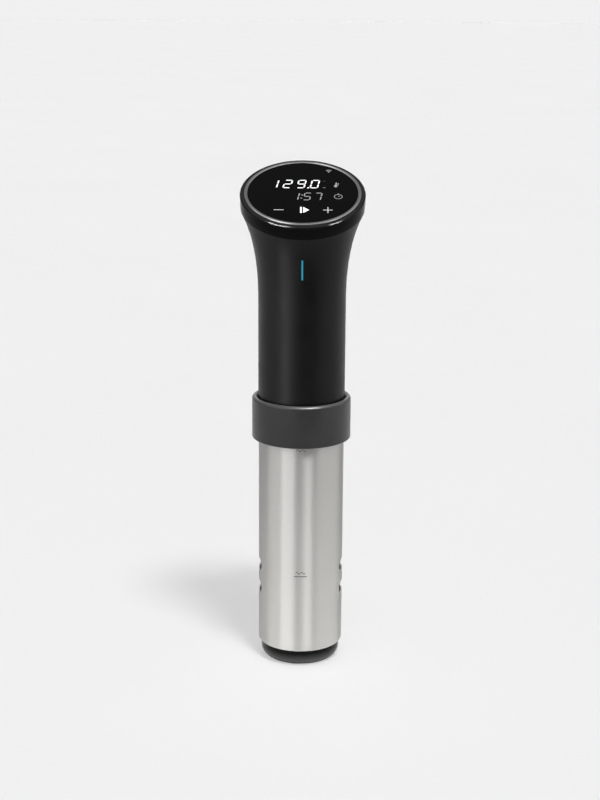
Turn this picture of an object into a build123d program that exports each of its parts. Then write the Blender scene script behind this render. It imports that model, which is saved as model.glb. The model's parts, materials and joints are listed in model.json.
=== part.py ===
from build123d import *
import os
from math import cos, degrees, radians, sin, sqrt

os.makedirs("parts", exist_ok=True)

# Sizes are in millimetres, +Z is up and the display faces -Y.

# Clearances
SEAT_GAP = 0.05
RUN_GAP = 0.05
SLIDE_GAP = 0.3
SEAM_GAP = 0.6
CUT_PAST = 1.0

# Steel sleeve
FOOT_HEIGHT = 10.8
SLEEVE_INSET = 0.3
SLEEVE_WALL = 0.8
SLEEVE_LENGTH = 150.7
SLEEVE_LIP = 1.8
SLEEVE_EDGE = 1.4
SLOT_WIDTH = 21.0
SLOT_HEIGHT = 8.0
SLOT_HEIGHTS = (49.0, 64.4)

# Base cap
FOOT_ROUND = 4.4
FOOT_ROUND_HEIGHT = 6.3
FOOT_FLOOR = 4.5
FOOT_RIM = 1.8
FOOT_WALL = 2.2
FOOT_HUB_RADIUS = 7.0
FOOT_COLLAR = 4.0
SPOKE_COUNT = 4
SPOKE_WIDTH = 3.2
SPOKE_LIFT = 2.0

# Bayonet between sleeve and bulkhead
LOCK_RING_WALL = 1.9
LOCK_RING_HEIGHT = 13.0
LOCK_RING_DROP = 0.8
LUG_COUNT = 3
LUG_DEPTH = 1.2
LUG_HEIGHT = 3.0
LUG_RISE = 5.0
LUG_ANGLE = 24.0
TWIST_ANGLE = 25.0

# Handle
HANDLE_RADIUS = 28.05
HANDLE_WALL = 2.4
GRIP_LENGTH = 76.0
FLARE_HEIGHT = 64.1
FLARE_POWER = 2.6
RIM_OFFSET = 1.84
FLARE_STEPS = 4

# Head cap and display
HEAD_TILT = 24.8
CAP_RIM_RADIUS = 39.6
CAP_BULGE = 0.15
CAP_DEPTH = 9.2
CAP_SHOULDER = 1.5
CAP_EDGE = 1.3
CAP_DROP = 0.2
SPIGOT_INSET = 3.5
SPIGOT_DEPTH = 3.0
SPIGOT_WALL = 1.6
LENS_INSET = 4.85
LENS_THICKNESS = 1.6
GASKET_THICKNESS = 0.8
GASKET_WIDTH = 2.6
BEZEL_WIDTH = 1.9
BEZEL_PROUD = 0.5
BEZEL_BEVEL = 0.4
SHELF_THICKNESS = 1.5
SHELF_WIDTH = 3.2
BOARD_DROP = 7.0
BOARD_THICKNESS = 1.6
DISPLAY_BOARD_GAP = 0.6
DISPLAY_SCREW_COUNT = 3
DISPLAY_BOSS_RADIUS = 2.5
LED_MODULE_SIZE = (42.0, 27.0)
LED_MODULE_CENTRE = (2.0, 3.0)
LED_MODULE_GAP = 0.5
TOUCH_PAD_RADIUS = 2.2
TOUCH_PAD_PLACES = ((-15.0, -20.2), (1.2, -20.2), (16.0, -20.2))

# Status light on the front of the handle
STATUS_RISE = 21.6
STATUS_LENGTH = 12.5
STATUS_WIDTH = 1.3
STATUS_GUIDE_DEPTH = 4.0
STATUS_BOARD_WIDTH = 5.0
STATUS_BOARD_THICKNESS = 1.2

# Bulkhead between handle and heater
FLANGE_RISE = 1.4
FLANGE_HEIGHT = 10.0
NECK_LENGTH = 14.0
SEAL_SECTION = 1.3
SEAL_RISE = 4.5
POST_COUNT = 3
POST_INSET = 4.05
POST_RADIUS = 3.0
POST_HEIGHT = 9.0
BOSS_INSET = 4.85
BOSS_RADIUS = 2.9
BOSS_LENGTH = 11.0
BOSS_TURN = 90.0
POST_TURN = 30.0
SCREW_RADIUS = 1.25
SCREW_HEAD_RADIUS = 2.2
SCREW_HEAD_HEIGHT = 1.6
SCREW_BITE = 6.0

# Motor
MOUNT_THICKNESS = 3.0
END_PLATE_THICKNESS = 3.0
MOTOR_GAP = 1.8
MOTOR_WALL = 1.2
MOTOR_LENGTH = 36.0
BEARING_RADIUS = 6.0
BEARING_HEIGHT = 4.0
ROTOR_RADIUS = 9.5
ROTOR_LENGTH = 22.0
AIR_GAP = 0.6
STATOR_SLOTS = 6
STATOR_SLOT_RADIUS = 2.0
MOTOR_SCREW_INSET = 5.5
FAN_LIFT = 2.0
FAN_HEIGHT = 7.0
FAN_RADIUS = 16.0
FAN_HUB_RADIUS = 4.5
FAN_BLADES = 7
FAN_BLADE_THICKNESS = 1.0
FAN_PITCH = 35.0

# Shaft line and impeller
SHAFT_RADIUS = 2.5
SHAFT_BOTTOM = 17.0
SHAFT_TUBE_RADIUS = 5.0
SHAFT_TUBE_WALL = 1.4
SHAFT_TUBE_BOTTOM = 45.0
SHAFT_TUBE_PROUD = 1.5
SEAL_LENGTH = 4.0
BUSH_LENGTH = 10.0
IMPELLER_BOTTOM = 25.0
IMPELLER_HEIGHT = 14.0
IMPELLER_RADIUS = 19.0
IMPELLER_HUB_RADIUS = 6.0
IMPELLER_BLADES = 6
IMPELLER_BLADE_THICKNESS = 1.6
IMPELLER_PITCH = 40.0
NUT_RADIUS = 4.6
NUT_HEIGHT = 4.0

# Heater and probes
HEATER_GAP = 0.85
HEATER_TUBE = 2.75
HEATER_BOTTOM = 72.0
HEATER_PITCH = 12.0
HEATER_TURNS = 5
HEATER_RETURN_RADIUS = 8.6
HEATER_PROUD = 1.0
HEATER_ELBOW = 3.0
TERMINAL_WIDTH = 4.0
TERMINAL_THICKNESS = 0.8
TERMINAL_HEIGHT = 5.0
PROBE_INSET = 4.1
PROBE_RADIUS = 2.0
PROBE_BOTTOM = 78.0
PROBE_ANGLE = 240.0
PROBE_PROUD = 2.0
LEVEL_PROBE_RADIUS = 1.25
LEVEL_PROBE_BOTTOMS = (64.0, 110.0)
LEVEL_PROBE_ANGLES = (60.0, 120.0)

# Control board in the upper handle
CONTROL_WIDTH = 42.0
CONTROL_HEIGHT = 52.0
CONTROL_PLACE = 4.0
CONTROL_GAP = 3.0
RAIL_GRIP = 1.6
RAIL_WALL = 1.8
TRANSFORMER_SIZE = (22.0, 15.0, 18.0)
TRANSFORMER_RISE = 3.0
RELAY_SIZE = (18.0, 15.0, 12.0)
RELAY_GAP = 4.0
TERMINAL_BLOCK_SIZE = (16.0, 8.0, 9.0)
TERMINAL_BLOCK_GAP = 3.0
CAPACITOR_RADIUS = 5.0
CAPACITOR_LENGTH = 13.0
CAPACITOR_RISE = 10.0
CAPACITOR_SPACING = 13.0
CAPACITOR_COUNT = 3
RADIO_SIZE = (18.0, 2.6, 24.0)
RADIO_RISE = 22.0

# Cord gland at the back of the handle
GLAND_DROP = 2.0
GLAND_RADIUS = 5.2
GLAND_BORE = 3.6
GLAND_FLANGE_RADIUS = 7.2
GLAND_FLANGE = 2.0
GLAND_LIP_RADIUS = 6.2
GLAND_LIP = 1.6
GLAND_PAD_PROUD = 1.2
GLAND_PAD_MARGIN = 1.0

# Clamp collar
COLLAR_WALL = 4.0
COLLAR_DROP = 9.85
COLLAR_HEIGHT = 27.35
COLLAR_EDGE = 2.0
COLLAR_FOOT_EDGE = 0.6
COLLAR_BORE_GAP = 0.65
COLLAR_CHAMFER = 0.8
LINER_WALL = 1.5
LINER_MARGIN = 3.2
LINER_GAP = 0.2
COLLAR_BOSS_WIDTH = 28.0
COLLAR_BOSS_PROUD = 4.95
COLLAR_BOSS_EDGE = 1.5

# Pot hook and clamp screw
HOOK_WIDTH = 24.0
HOOK_LEG = 4.0
HOOK_OUTER_LEG = 6.0
HOOK_BRIDGE = 5.0
HOOK_GAP = 23.0
HOOK_INNER_DROP = 44.0
HOOK_OUTER_DROP = 50.0
HOOK_EDGE = 2.0
HOOK_SCREW_SPACING = 12.0
HOOK_SCREW_RISE = 13.5
HOOK_SCREW_COVER = 2.1
HOOK_SCREW_HEAD = 1.2
JAW_PAD_WIDTH = 22.0
JAW_PAD_LENGTH = 26.0
JAW_PAD_THICKNESS = 2.0
JAW_PAD_RISE = 1.5
CLAMP_DROP = 31.0
INSERT_RADIUS = 5.5
INSERT_FLANGE_RADIUS = 7.0
INSERT_FLANGE = 1.6
CLAMP_SCREW_RADIUS = 3.0
PAD_RADIUS = 9.0
PAD_THICKNESS = 4.5
PAD_SOCKET = 2.5
PAD_EDGE = 1.0
PAD_TRAVEL = 13.0
PAD_LEG_GAP = 1.0
KNOB_RADIUS = 13.0
KNOB_LENGTH = 12.0
KNOB_LOBES = 8
KNOB_LOBE_RADIUS = 3.4
KNOB_LOBE_DEPTH = 1.7
KNOB_EDGE = 1.5
KNOB_GAP = 1.0
KNOB_BITE = 9.0

# Heights that follow from the sizes above
sleeve_bottom = FOOT_HEIGHT
sleeve_top = sleeve_bottom + SLEEVE_LENGTH
handle_bottom = sleeve_top + SEAM_GAP
flare_start = handle_bottom + GRIP_LENGTH
rim_height = flare_start + FLARE_HEIGHT
status_bottom = flare_start + STATUS_RISE
gland_height = flare_start - GLAND_FLANGE_RADIUS - GLAND_PAD_MARGIN - GLAND_DROP
flange_bottom = handle_bottom + FLANGE_RISE
flange_top = flange_bottom + FLANGE_HEIGHT
neck_bottom = flange_bottom - NECK_LENGTH
mount_bottom = flange_top + POST_HEIGHT
mount_top = mount_bottom + MOUNT_THICKNESS
motor_bottom = mount_top + END_PLATE_THICKNESS
motor_top = motor_bottom + MOTOR_LENGTH
fan_bottom = motor_top + FAN_LIFT
fan_top = fan_bottom + FAN_HEIGHT
control_bottom = fan_top + CONTROL_GAP
lug_bottom = sleeve_top - LOCK_RING_DROP - LOCK_RING_HEIGHT + LUG_RISE
collar_bottom = sleeve_top - COLLAR_DROP
collar_top = collar_bottom + COLLAR_HEIGHT
relay_rise = TRANSFORMER_RISE + TRANSFORMER_SIZE[2] + RELAY_GAP
terminal_block_rise = relay_rise + RELAY_SIZE[2] + TERMINAL_BLOCK_GAP
heater_top = HEATER_BOTTOM + HEATER_PITCH * HEATER_TURNS

# Radii that follow from the sizes above
sleeve_radius = HANDLE_RADIUS - SLEEVE_INSET
sleeve_bore = sleeve_radius - SLEEVE_WALL
grip_bore = HANDLE_RADIUS - HANDLE_WALL
lock_ring_radius = sleeve_bore - SEAT_GAP
lock_ring_bore = lock_ring_radius - LOCK_RING_WALL
neck_radius = lock_ring_bore - SLIDE_GAP
flange_radius = grip_bore - 2 * SEAT_GAP
boss_circle = grip_bore - BOSS_INSET
post_circle = flange_radius - POST_INSET
probe_circle = neck_radius - PROBE_INSET
heater_radius = probe_circle - PROBE_RADIUS - HEATER_TUBE - HEATER_GAP
collar_radius = HANDLE_RADIUS + COLLAR_WALL
foot_radius = sleeve_radius - SLEEVE_LIP - SEAT_GAP
cap_radius = CAP_RIM_RADIUS + CAP_BULGE
spigot_radius = CAP_RIM_RADIUS - SPIGOT_INSET
lens_radius = CAP_RIM_RADIUS - LENS_INSET
bezel_radius = lens_radius + SEAT_GAP + BEZEL_WIDTH
motor_radius = post_circle - SCREW_HEAD_RADIUS - MOTOR_GAP
motor_screw_circle = motor_radius - MOTOR_SCREW_INSET
motor_bore = motor_radius - MOTOR_WALL
bearing_bore = SHAFT_RADIUS + RUN_GAP
tube_bore = SHAFT_TUBE_RADIUS - SHAFT_TUBE_WALL
liner_bore = HANDLE_RADIUS + LINER_GAP
liner_radius = liner_bore + LINER_WALL
shelf_depth = LENS_THICKNESS + GASKET_THICKNESS

# Frame of the tilted display, with its face as the ground plane
tilt = radians(HEAD_TILT)
head_normal = Vector(0, -sin(tilt), cos(tilt))
head_centre = Vector(0, RIM_OFFSET, rim_height) + head_normal * CAP_DEPTH
head = Plane(origin=head_centre, x_dir=(1, 0, 0), z_dir=head_normal).location

# Places along the pot hook, from the body outwards
boss_reach = collar_radius + COLLAR_BOSS_PROUD
hook_screw_end = liner_radius + SLIDE_GAP / 2 + HOOK_SCREW_COVER
jaw_face = boss_reach + HOOK_LEG
outer_leg_face = jaw_face + HOOK_GAP
outer_leg_back = outer_leg_face + HOOK_OUTER_LEG
insert_back = outer_leg_back + INSERT_FLANGE
pad_back = outer_leg_face - PAD_LEG_GAP
pad_front = pad_back - PAD_THICKNESS
knob_front = insert_back + PAD_TRAVEL + KNOB_GAP
clamp_height = collar_top - CLAMP_DROP


def disc(radius, bottom, top):
    return Pos(0, 0, bottom) * Cylinder(radius, top - bottom, align=(Align.CENTER, Align.CENTER, Align.MIN))


def ring(outer, inner, bottom, top):
    margin = top - bottom
    return disc(outer, bottom, top) - disc(inner, bottom - margin, top + margin)


def ring_sector(outer, inner, bottom, top, start, end):
    centre = Pos((outer + inner) / 2, (bottom + top) / 2)
    face = Plane.XZ * centre * Rectangle(outer - inner, top - bottom)
    return Rot(0, 0, start) * revolve(face, axis=Axis.Z, revolution_arc=end - start)


def block(x_range, y_range, z_range):
    size = [end - start for start, end in (x_range, y_range, z_range)]
    centre = [(end + start) / 2 for start, end in (x_range, y_range, z_range)]
    return Pos(*centre) * Box(*size)


def turned(*edges):
    return revolve(Plane.XZ * make_face(edges), axis=Axis.Z)


def round_places(count, circle, turn):
    return [Rot(0, 0, turn + step * 360 / count) * Pos(circle, 0, 0) for step in range(count)]


def at_angle(angle, circle):
    return Rot(0, 0, angle) * Pos(circle, 0, 0)


def lying_disc(radius, start, end, height):
    return Pos(0, start, height) * Rot(-90, 0, 0) * disc(radius, 0, end - start)


def screw(head_top, length, radius=SCREW_RADIUS, head_height=SCREW_HEAD_HEIGHT):
    under = head_top - head_height
    return disc(SCREW_HEAD_RADIUS, under, head_top) + disc(radius, under - length, under)


def group(solids):
    return Compound(children=[part for part in solids])


# Handle: straight grip, then a flare whose sections lean towards the display
def flare_circle(share, inset):
    radius = HANDLE_RADIUS + (CAP_RIM_RADIUS - HANDLE_RADIUS) * share**FLARE_POWER - inset
    lean = tilt * share
    centre = (0, RIM_OFFSET * share**2, flare_start + FLARE_HEIGHT * share)
    return Plane(origin=centre, x_dir=(1, 0, 0), z_dir=(0, -sin(lean), cos(lean))) * Circle(radius)


def flare_form(inset, overrun=0.0):
    sections = [flare_circle(step / FLARE_STEPS, inset) for step in range(FLARE_STEPS + 1)]
    flare = loft(sections)
    if overrun:
        flare += head * disc(CAP_RIM_RADIUS - inset, -CAP_DEPTH, overrun - CAP_DEPTH)
    return flare


def handle_form(inset, overrun=0.0):
    return disc(HANDLE_RADIUS - inset, handle_bottom - overrun, flare_start) + flare_form(inset, overrun)


def status_window(margin):
    half = STATUS_WIDTH / 2 + margin
    heights = (status_bottom - margin, status_bottom + STATUS_LENGTH + margin)
    return block((-half, half), (-cap_radius, -HANDLE_RADIUS / 2), heights)


def control_rails():
    edge = CONTROL_WIDTH / 2
    near = CONTROL_PLACE - RAIL_WALL
    far = CONTROL_PLACE + BOARD_THICKNESS + RAIL_WALL
    heights = (control_bottom - RAIL_WALL, control_bottom + CONTROL_HEIGHT)
    slot = block((-edge - SEAT_GAP, edge + SEAT_GAP),
                 (CONTROL_PLACE - SEAT_GAP, CONTROL_PLACE + BOARD_THICKNESS + SEAT_GAP),
                 (control_bottom - SEAT_GAP, control_bottom + 2 * CONTROL_HEIGHT))
    right = block((edge - RAIL_GRIP, cap_radius), (near, far), heights)
    left = block((-cap_radius, RAIL_GRIP - edge), (near, far), heights)
    return (right + left - slot) & handle_form(HANDLE_WALL / 2)


def handle_bosses():
    bottom = flange_top + SEAT_GAP
    bosses = []
    for place in round_places(POST_COUNT, boss_circle, BOSS_TURN):
        web = block((0, HANDLE_RADIUS - boss_circle), (-BOSS_RADIUS / 2, BOSS_RADIUS / 2),
                    (bottom, bottom + BOSS_LENGTH))
        bosses.append(place * (disc(BOSS_RADIUS, bottom, bottom + BOSS_LENGTH) + web))
    return [boss & disc(HANDLE_RADIUS - HANDLE_WALL / 2, bottom, bottom + BOSS_LENGTH) for boss in bosses]


def handle_shell():
    shell = handle_form(0) - handle_form(HANDLE_WALL, overrun=CUT_PAST)
    pad = lying_disc(GLAND_FLANGE_RADIUS + GLAND_PAD_MARGIN, grip_bore, HANDLE_RADIUS + GLAND_PAD_PROUD,
                     gland_height)
    shell += pad - disc(grip_bore, handle_bottom, flare_start)
    shell += control_rails()
    for boss in handle_bosses():
        shell += boss
    for place in round_places(POST_COUNT, boss_circle, BOSS_TURN):
        shell -= place * disc(SCREW_RADIUS + SEAT_GAP, flange_top - CUT_PAST,
                              flange_top + SCREW_BITE + CUT_PAST)
    seat = disc(spigot_radius + SEAT_GAP, -CAP_DEPTH - SPIGOT_DEPTH - SEAT_GAP, CAP_DEPTH)
    shell -= head * seat
    shell -= status_window(SEAT_GAP)
    shell -= lying_disc(GLAND_RADIUS + SEAT_GAP, 0, 2 * HANDLE_RADIUS, gland_height)
    return shell


# Head cap: gloss ring with a rounded shoulder, a shelf for the lens and a spigot into the handle
def head_cap():
    opening = bezel_radius + SEAT_GAP
    top = -CAP_DROP
    low = top - CAP_SHOULDER
    bulge = (cap_radius, (low - CAP_DEPTH) / 2)
    bend = sqrt(0.5)
    edge = CAP_RIM_RADIUS - CAP_EDGE
    elbow = (edge + CAP_EDGE * bend, low + CAP_SHOULDER * bend)
    foot = -CAP_DEPTH - SPIGOT_DEPTH
    inner = spigot_radius - SPIGOT_WALL
    shelf_low = -shelf_depth - SHELF_THICKNESS
    cap = turned(
        Line((opening, top), (edge, top)),
        ThreePointArc((edge, top), elbow, (CAP_RIM_RADIUS, low)),
        ThreePointArc((CAP_RIM_RADIUS, low), bulge, (CAP_RIM_RADIUS, -CAP_DEPTH)),
        Polyline((CAP_RIM_RADIUS, -CAP_DEPTH), (spigot_radius, -CAP_DEPTH), (spigot_radius, foot),
                 (inner, foot), (inner, shelf_low), (inner - SHELF_WIDTH, shelf_low),
                 (inner - SHELF_WIDTH, -shelf_depth), (opening, -shelf_depth), (opening, top)),
    )
    for place in display_screw_places():
        cap += place * disc(DISPLAY_BOSS_RADIUS, -BOARD_DROP, shelf_low)
        cap -= place * disc(SCREW_RADIUS + SEAT_GAP, -BOARD_DROP - CUT_PAST, shelf_low)
    return head * cap


def display_screw_places():
    circle = spigot_radius - SPIGOT_WALL - SHELF_WIDTH / 2 - SCREW_RADIUS
    return round_places(DISPLAY_SCREW_COUNT, circle, 90)


def bezel_ring():
    inner = lens_radius + SEAT_GAP
    rise = BEZEL_PROUD
    return head * turned(Polyline(
        (inner, -shelf_depth), (bezel_radius, -shelf_depth), (bezel_radius, rise - BEZEL_BEVEL),
        (bezel_radius - BEZEL_BEVEL, rise), (inner + BEZEL_BEVEL, rise), (inner, rise - BEZEL_BEVEL),
        (inner, -shelf_depth),
    ))


def display_lens():
    return head * disc(lens_radius, -LENS_THICKNESS, 0)


def lens_gasket():
    return head * ring(lens_radius, lens_radius - GASKET_WIDTH, -shelf_depth, -LENS_THICKNESS)


def display_board():
    radius = spigot_radius - SPIGOT_WALL - DISPLAY_BOARD_GAP
    board = disc(radius, -BOARD_DROP - BOARD_THICKNESS, -BOARD_DROP)
    for place in display_screw_places():
        board -= place * disc(SCREW_RADIUS + SEAT_GAP, -2 * BOARD_DROP, 0)
    return head * board


def led_module():
    width, depth = LED_MODULE_SIZE
    module = Box(width, depth, BOARD_DROP - LENS_THICKNESS - LED_MODULE_GAP,
                 align=(Align.CENTER, Align.CENTER, Align.MIN))
    return head * Pos(*LED_MODULE_CENTRE, -BOARD_DROP) * module


def touch_pads():
    pad = disc(TOUCH_PAD_RADIUS, -BOARD_DROP, -LENS_THICKNESS)
    return group([head * Pos(x, y, 0) * pad for x, y in TOUCH_PAD_PLACES])


def display_screws():
    reach = BOARD_DROP - shelf_depth - SHELF_THICKNESS + BOARD_THICKNESS - SEAT_GAP
    up = Pos(0, 0, -BOARD_DROP - BOARD_THICKNESS) * Rot(180, 0, 0) * screw(SCREW_HEAD_HEIGHT, reach)
    return group([head * place * up for place in display_screw_places()])


# Status light: a clear guide flush with the handle and a small board behind it
def status_light_guide():
    skin = flare_form(0) - flare_form(STATUS_GUIDE_DEPTH)
    return skin & status_window(0)


def status_led():
    back = STATUS_GUIDE_DEPTH - HANDLE_RADIUS
    half = STATUS_BOARD_WIDTH / 2
    heights = (status_bottom, status_bottom + STATUS_LENGTH)
    return block((-half, half), (back + SEAT_GAP, back + STATUS_BOARD_THICKNESS), heights)


# Bulkhead: sealed plug with the bayonet neck below and three posts for the motor above
def bulkhead():
    seal_height = flange_bottom + SEAL_RISE
    plug = disc(flange_radius, flange_bottom, flange_top) + disc(neck_radius, neck_bottom, flange_bottom)
    groove = grip_bore - 2 * SEAL_SECTION - 2 * SEAT_GAP
    half = SEAL_SECTION + SEAT_GAP
    plug -= ring(2 * grip_bore, groove, seal_height - half, seal_height + half)
    for place in round_places(POST_COUNT, post_circle, POST_TURN):
        plug += place * disc(POST_RADIUS, flange_top, mount_bottom)
        plug -= place * disc(SCREW_RADIUS + SEAT_GAP, mount_bottom - SCREW_BITE - CUT_PAST,
                             mount_bottom + CUT_PAST)
    for place in round_places(POST_COUNT, boss_circle, BOSS_TURN):
        plug -= place * disc(SCREW_RADIUS + SEAT_GAP, neck_bottom, flange_top + CUT_PAST)
        plug -= place * disc(SCREW_HEAD_RADIUS + SLIDE_GAP / 2, neck_bottom - CUT_PAST, flange_bottom)
    plug -= bayonet_grooves()
    plug -= disc(SHAFT_TUBE_RADIUS + SEAT_GAP, neck_bottom - CUT_PAST, flange_top + CUT_PAST)
    through = (neck_bottom - CUT_PAST, flange_top + CUT_PAST)
    for place in heater_leg_places():
        plug -= place * disc(HEATER_TUBE + SEAT_GAP, *through)
    plug -= at_angle(PROBE_ANGLE, probe_circle) * disc(PROBE_RADIUS + SEAT_GAP, *through)
    for angle in LEVEL_PROBE_ANGLES:
        plug -= at_angle(angle, probe_circle) * disc(LEVEL_PROBE_RADIUS + SEAT_GAP, *through)
    return plug


def bayonet_grooves():
    deep = lock_ring_bore - LUG_DEPTH - SLIDE_GAP
    slack = degrees(SLIDE_GAP / deep)
    low = lug_bottom - SLIDE_GAP
    high = lug_bottom + LUG_HEIGHT + SLIDE_GAP
    start = -LUG_ANGLE / 2 - slack
    end = LUG_ANGLE / 2 + TWIST_ANGLE + slack
    turn = ring_sector(2 * neck_radius, deep, low, high, start, end)
    entry = ring_sector(2 * neck_radius, deep, neck_bottom - CUT_PAST, high, start + TWIST_ANGLE, end)
    return [Rot(0, 0, step * 360 / LUG_COUNT) * (turn + entry) for step in range(LUG_COUNT)]


def bulkhead_seal():
    middle = grip_bore - SEAL_SECTION - SEAT_GAP
    return Pos(0, 0, flange_bottom + SEAL_RISE) * Torus(middle, SEAL_SECTION)


def bulkhead_screws():
    up = Pos(0, 0, flange_bottom) * Rot(180, 0, 0) * screw(SCREW_HEAD_HEIGHT, FLANGE_HEIGHT + SCREW_BITE)
    return group([place * up for place in round_places(POST_COUNT, boss_circle, BOSS_TURN)])


# Motor: can, end plate, stator and two bearings on a plate carried by the posts
def motor_mount():
    plate = disc(grip_bore - SLIDE_GAP, mount_bottom, mount_top)
    plate -= disc(BEARING_RADIUS + SLIDE_GAP, mount_bottom - CUT_PAST, mount_top + CUT_PAST)
    for place in round_places(POST_COUNT, boss_circle, BOSS_TURN):
        notch = block((-BOSS_RADIUS - SLIDE_GAP, HANDLE_RADIUS),
                      (-BOSS_RADIUS - SLIDE_GAP, BOSS_RADIUS + SLIDE_GAP),
                      (mount_bottom - CUT_PAST, mount_top + CUT_PAST))
        plate -= place * notch
    for place in round_places(POST_COUNT, post_circle, POST_TURN):
        plate -= place * disc(SCREW_RADIUS + SEAT_GAP, mount_bottom - CUT_PAST, mount_top + CUT_PAST)
    for place in motor_screw_places():
        plate -= place * disc(SCREW_RADIUS + SEAT_GAP, mount_bottom - CUT_PAST, mount_top + CUT_PAST)
    return plate


def motor_screw_places():
    return round_places(2, motor_screw_circle, 90)


def motor_end_plate():
    plate = disc(motor_radius, mount_top, motor_bottom)
    plate += disc(BEARING_RADIUS + MOTOR_WALL, motor_bottom,
                  motor_bottom + BEARING_HEIGHT - END_PLATE_THICKNESS / 2)
    plate -= disc(BEARING_RADIUS + SEAT_GAP, mount_top + END_PLATE_THICKNESS / 2, motor_top)
    plate -= disc(BEARING_RADIUS - MOTOR_WALL, mount_top - CUT_PAST, motor_top)
    for place in motor_screw_places():
        plate -= place * disc(SCREW_RADIUS + SEAT_GAP, mount_top - CUT_PAST, motor_bottom + CUT_PAST)
    return plate


def motor_can():
    can = ring(motor_radius, motor_bore, motor_bottom, motor_top)
    can += disc(motor_radius, motor_top - MOTOR_WALL, motor_top)
    can += disc(BEARING_RADIUS + MOTOR_WALL, motor_top - BEARING_HEIGHT, motor_top)
    can -= disc(BEARING_RADIUS + SEAT_GAP, motor_bottom, motor_top - MOTOR_WALL)
    can -= disc(BEARING_RADIUS - MOTOR_WALL, motor_bottom, motor_top + CUT_PAST)
    return can


def upper_bearing():
    top = motor_top - MOTOR_WALL
    return ring(BEARING_RADIUS, bearing_bore, top - BEARING_HEIGHT, top)


def lower_bearing():
    bottom = mount_top + END_PLATE_THICKNESS / 2
    return ring(BEARING_RADIUS, bearing_bore, bottom, bottom + BEARING_HEIGHT)


def rotor_heights():
    middle = (motor_bottom + motor_top) / 2
    return middle - ROTOR_LENGTH / 2, middle + ROTOR_LENGTH / 2


def motor_stator():
    low, high = rotor_heights()
    bore = ROTOR_RADIUS + AIR_GAP
    stator = ring(motor_bore - SEAT_GAP, bore, low, high)
    for place in round_places(STATOR_SLOTS, bore + STATOR_SLOT_RADIUS / 2, 0):
        stator -= place * disc(STATOR_SLOT_RADIUS, low - CUT_PAST, high + CUT_PAST)
    return stator


def motor_rotor():
    return ring(ROTOR_RADIUS, SHAFT_RADIUS, *rotor_heights())


def motor_screws():
    length = MOUNT_THICKNESS + END_PLATE_THICKNESS - SEAT_GAP
    up = Pos(0, 0, mount_bottom) * Rot(180, 0, 0) * screw(SCREW_HEAD_HEIGHT, length)
    return group([place * up for place in motor_screw_places()])


def mount_screws():
    down = screw(mount_top + SCREW_HEAD_HEIGHT, MOUNT_THICKNESS + SCREW_BITE)
    return group([place * down for place in round_places(POST_COUNT, post_circle, POST_TURN)])


# Rotor: one long shaft with the fan at the top and the impeller at the bottom
def bladed_wheel(hub, radius, bottom, height, count, thickness, pitch):
    wheel = disc(hub, bottom, bottom + height)
    chord = (height - thickness) / sin(radians(pitch))
    blade = block((hub / 2, 2 * radius), (-chord, chord), (-thickness / 2, thickness / 2))
    blade = Pos(0, 0, bottom + height / 2) * Rot(pitch, 0, 0) * blade
    blade = blade & disc(radius, bottom, bottom + height)
    for step in range(count):
        wheel += Rot(0, 0, step * 360 / count) * blade
    return wheel - disc(SHAFT_RADIUS, bottom - CUT_PAST, bottom + height + CUT_PAST)


def cooling_fan():
    return bladed_wheel(FAN_HUB_RADIUS, FAN_RADIUS, fan_bottom, FAN_HEIGHT, FAN_BLADES, FAN_BLADE_THICKNESS,
                        FAN_PITCH)


def impeller():
    return bladed_wheel(IMPELLER_HUB_RADIUS, IMPELLER_RADIUS, IMPELLER_BOTTOM, IMPELLER_HEIGHT,
                        IMPELLER_BLADES, IMPELLER_BLADE_THICKNESS, IMPELLER_PITCH)


def drive_shaft():
    return disc(SHAFT_RADIUS, SHAFT_BOTTOM, fan_top)


def impeller_nut():
    nut = extrude(Pos(0, 0, IMPELLER_BOTTOM - NUT_HEIGHT) * RegularPolygon(NUT_RADIUS, 6), NUT_HEIGHT)
    return nut - disc(SHAFT_RADIUS, IMPELLER_BOTTOM - 2 * NUT_HEIGHT, IMPELLER_BOTTOM + CUT_PAST)


def shaft_tube():
    return ring(SHAFT_TUBE_RADIUS, tube_bore, SHAFT_TUBE_BOTTOM, flange_top + SHAFT_TUBE_PROUD)


def shaft_seal():
    top = flange_top + SHAFT_TUBE_PROUD
    return ring(tube_bore - SEAT_GAP, bearing_bore, top - SEAL_LENGTH, top)


def lower_bush():
    return ring(tube_bore - SEAT_GAP, bearing_bore, SHAFT_TUBE_BOTTOM, SHAFT_TUBE_BOTTOM + BUSH_LENGTH)


# Heater: coil with one leg up from its top end and one returning through its middle
def heater_leg_places():
    return [at_angle(0, heater_radius), at_angle(0, HEATER_RETURN_RADIUS)]


def heater_coil():
    path = Pos(0, 0, HEATER_BOTTOM) * Helix(HEATER_PITCH, heater_top - HEATER_BOTTOM, heater_radius)
    start = Plane(origin=path @ 0, z_dir=path % 0)
    coil = sweep(start * Circle(HEATER_TUBE), path=path)
    leg_top = flange_top + HEATER_PROUD
    coil += Pos(heater_radius, 0, heater_top) * Sphere(HEATER_ELBOW)
    coil += Pos(heater_radius, 0, 0) * disc(HEATER_TUBE, heater_top, leg_top)
    coil += Pos(heater_radius, 0, HEATER_BOTTOM) * Sphere(HEATER_ELBOW)
    across = Pos(HEATER_RETURN_RADIUS, 0, HEATER_BOTTOM) * Rot(0, 90, 0)
    coil += across * disc(HEATER_TUBE, 0, heater_radius - HEATER_RETURN_RADIUS)
    coil += Pos(HEATER_RETURN_RADIUS, 0, HEATER_BOTTOM) * Sphere(HEATER_ELBOW)
    coil += Pos(HEATER_RETURN_RADIUS, 0, 0) * disc(HEATER_TUBE, HEATER_BOTTOM, leg_top)
    return coil


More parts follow.
